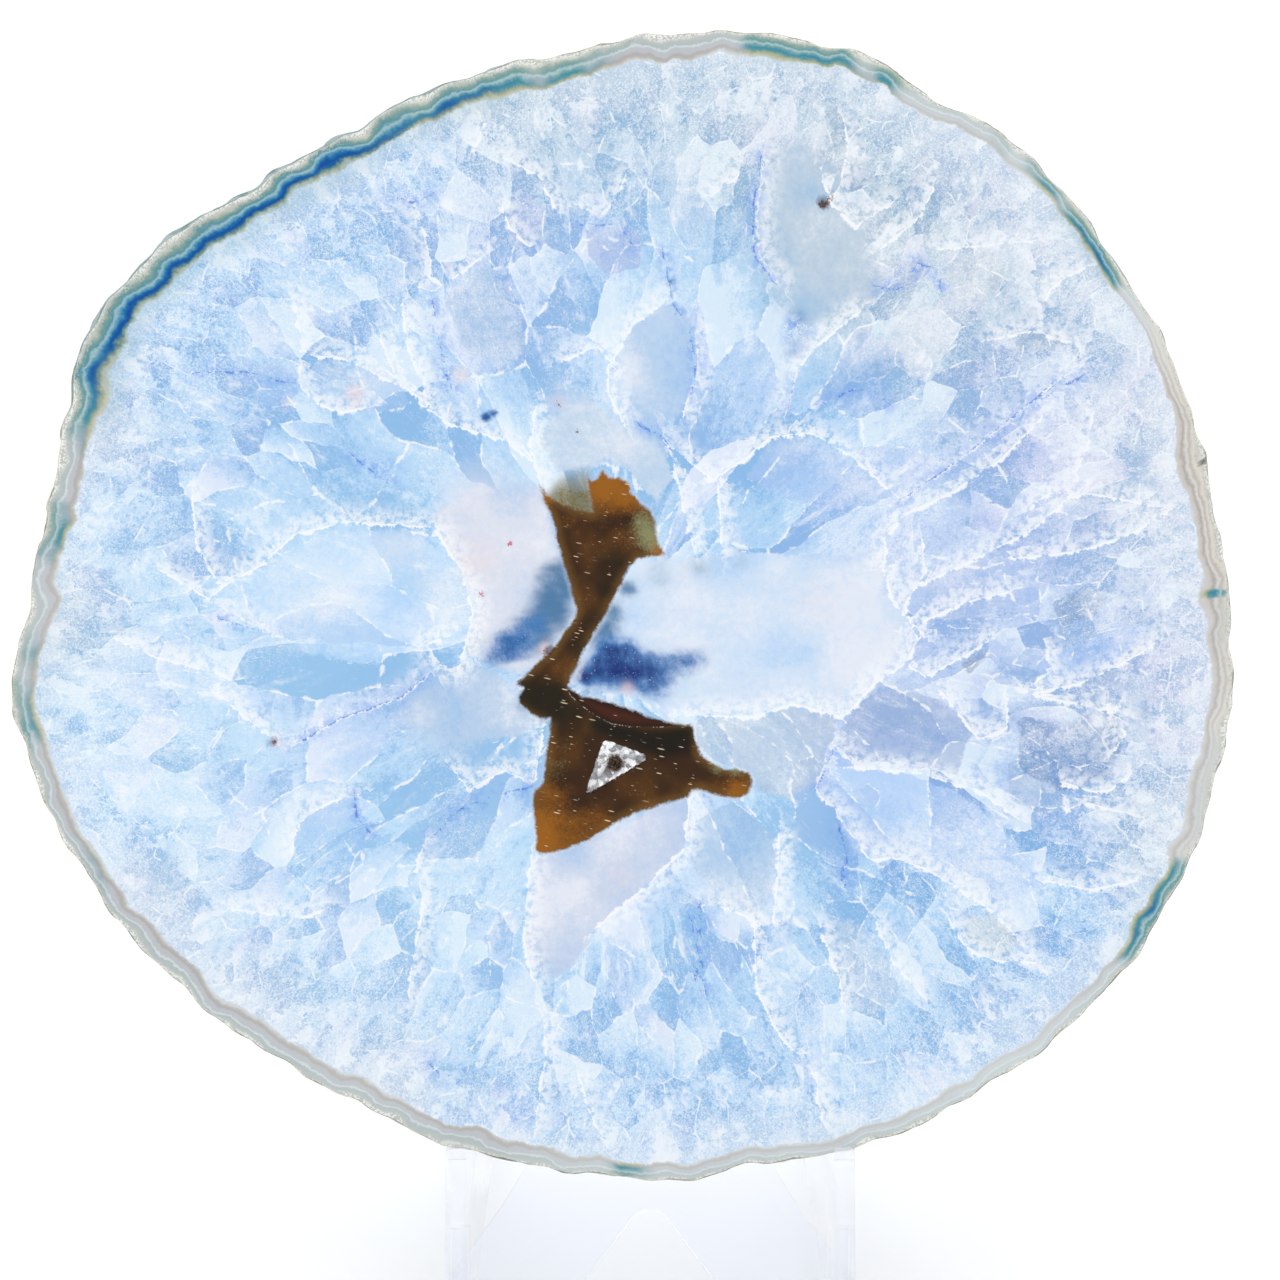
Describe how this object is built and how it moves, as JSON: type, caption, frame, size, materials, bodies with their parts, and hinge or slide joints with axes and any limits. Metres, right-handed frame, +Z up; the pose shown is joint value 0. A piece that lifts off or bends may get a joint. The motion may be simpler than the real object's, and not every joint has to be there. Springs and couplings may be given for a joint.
{
  "type": "polished agate slice on a clear easel",
  "caption": "Sawn and polished round slice of pale blue dyed agate with quartz crystals, a natural rind and a crystal pocket, leaning on a clear easel.",
  "frame": {"origin": "on the table, below the middle of the whole object's box", "axes": "+Z up from the table, +X to the viewer's right, the polished front faces -Y and leans back 12 degrees"},
  "size_m": [0.1912, 0.0914, 0.2027],
  "materials": {
    "agate": "polished translucent stone, pale blue quartz with a brown chalcedony heart and a banded grey and teal rind",
    "quartz_crystal": "small bright colourless quartz crystals",
    "clear_acrylic": "clear cast acrylic with polished edges"
  },
  "bodies": {
    "root": {"agate_slice": "agate", "pocket_crystals": "quartz_crystal", "easel_back": "clear_acrylic", "easel_side_left": "clear_acrylic", "easel_side_right": "clear_acrylic"}
  },
  "joints": []
}
